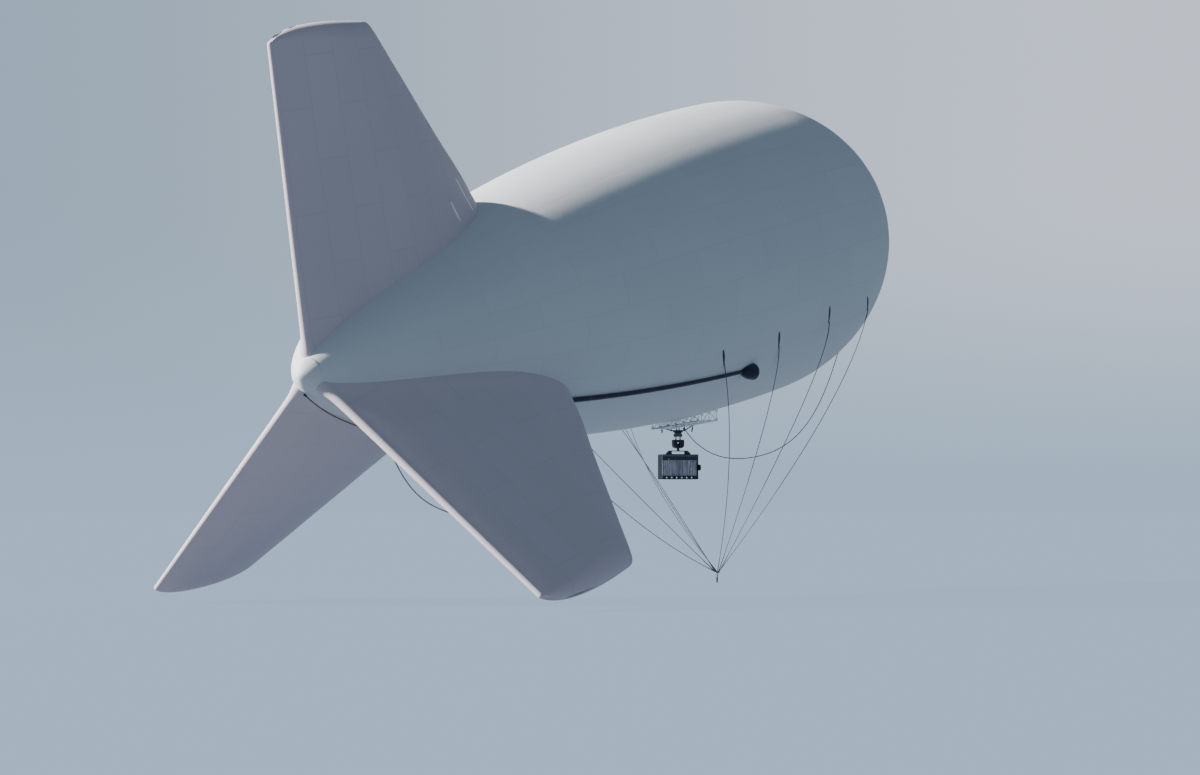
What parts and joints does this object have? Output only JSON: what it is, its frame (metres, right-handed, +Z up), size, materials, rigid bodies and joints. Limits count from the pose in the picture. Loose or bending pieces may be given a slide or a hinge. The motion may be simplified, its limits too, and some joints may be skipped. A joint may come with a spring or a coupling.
{
  "type": "tethered aerostat",
  "caption": "Tethered helium aerostat: a tapered gas envelope with inflated fins in an inverted Y, a rope bridle with swivel, and a panning, tilting payload box on a keel truss.",
  "frame": {"origin": "the envelope's centre of volume, on its axis, where the air holds the part up", "axes": "+X ahead towards the nose, level; +Y to port; +Z up. The envelope's axis is pitched 12.6 degrees nose up, and the bridle and payload hang plumb."},
  "size_m": [28.9456, 11.7244, 14.4445],
  "materials": {
    "envelope_fabric": "matte coated",
    "load_webbing": "woven",
    "duct_cloth": "matte coated",
    "rope": "braided",
    "steel": "satin",
    "alloy_tube": "satin",
    "white_shell": "semi-gloss",
    "dark_paint": "satin",
    "slate_panel": "satin",
    "black_fitting": "matte",
    "cable_jacket": "matte"
  },
  "bodies": {
    "aerostat": {"envelope": "envelope_fabric", "tail_cap": "envelope_fabric", "nose_cap": "load_webbing", "mooring_probe": "steel", "fin_upper": "envelope_fabric", "fin_starboard": "envelope_fabric", "fin_port": "envelope_fabric", "fin_duct_starboard": "duct_cloth", "fin_duct_port": "duct_cloth", "duct_scoop_starboard": "duct_cloth", "duct_scoop_port": "duct_cloth", "load_patch_starboard_1": "load_webbing", "load_patch_starboard_2": "load_webbing", "load_patch_starboard_3": "load_webbing", "load_patch_starboard_4": "load_webbing", "load_patch_port_1": "load_webbing", "load_patch_port_2": "load_webbing", "load_patch_port_3": "load_webbing", "load_patch_port_4": "load_webbing", "load_patch_aft": "load_webbing", "line_starboard_1": "rope", "line_starboard_2": "rope", "line_starboard_3": "rope", "line_starboard_4": "rope", "line_port_1": "rope", "line_port_2": "rope", "line_port_3": "rope", "line_port_4": "rope", "line_aft": "rope", "confluence_ring": "steel", "swivel_yoke": "steel", "belly_pad_starboard": "envelope_fabric", "belly_pad_port": "envelope_fabric", "payload_truss": "alloy_tube", "belly_fairing": "white_shell", "antenna_aft": "black_fitting", "antenna_fore": "black_fitting", "gimbal_hanger": "dark_paint", "power_cable": "cable_jacket", "cable_gland_truss": "black_fitting", "cable_gland_hull": "black_fitting", "tail_cord": "cable_jacket", "cord_gland_tail": "black_fitting", "cord_gland_fin": "black_fitting", "cord_clip_upper": "black_fitting", "cord_clip_lower": "black_fitting"},
    "swivel": {"swivel_body": "steel", "tether_socket": "black_fitting"},
    "payload_pan": {"pan_collar": "dark_paint", "pan_post_left": "dark_paint", "pan_post_right": "dark_paint", "tilt_fork": "dark_paint"},
    "payload_tilt": {"tilt_neck": "dark_paint", "bridge_bracket": "dark_paint", "box_case": "dark_paint", "box_band": "dark_paint", "ribbed_panel": "slate_panel", "lamp_strip": "black_fitting", "side_knob": "black_fitting"}
  },
  "joints": [
    {"name": "tether_swivel", "type": "hinge", "parent": "aerostat", "child": "swivel", "pos_m": [4.177, 0, -8.565], "axis": [0, 0, 1], "continuous": true},
    {"name": "payload_pan", "type": "hinge", "parent": "aerostat", "child": "payload_pan", "pos_m": [1.79, 0, -4.45], "axis": [0, 0, 1], "continuous": true},
    {"name": "payload_tilt", "type": "hinge", "parent": "payload_pan", "child": "payload_tilt", "pos_m": [1.79, 0, -4.8], "axis": [0.7071, -0.7071, 0], "range_deg": [-25, 25]}
  ]
}
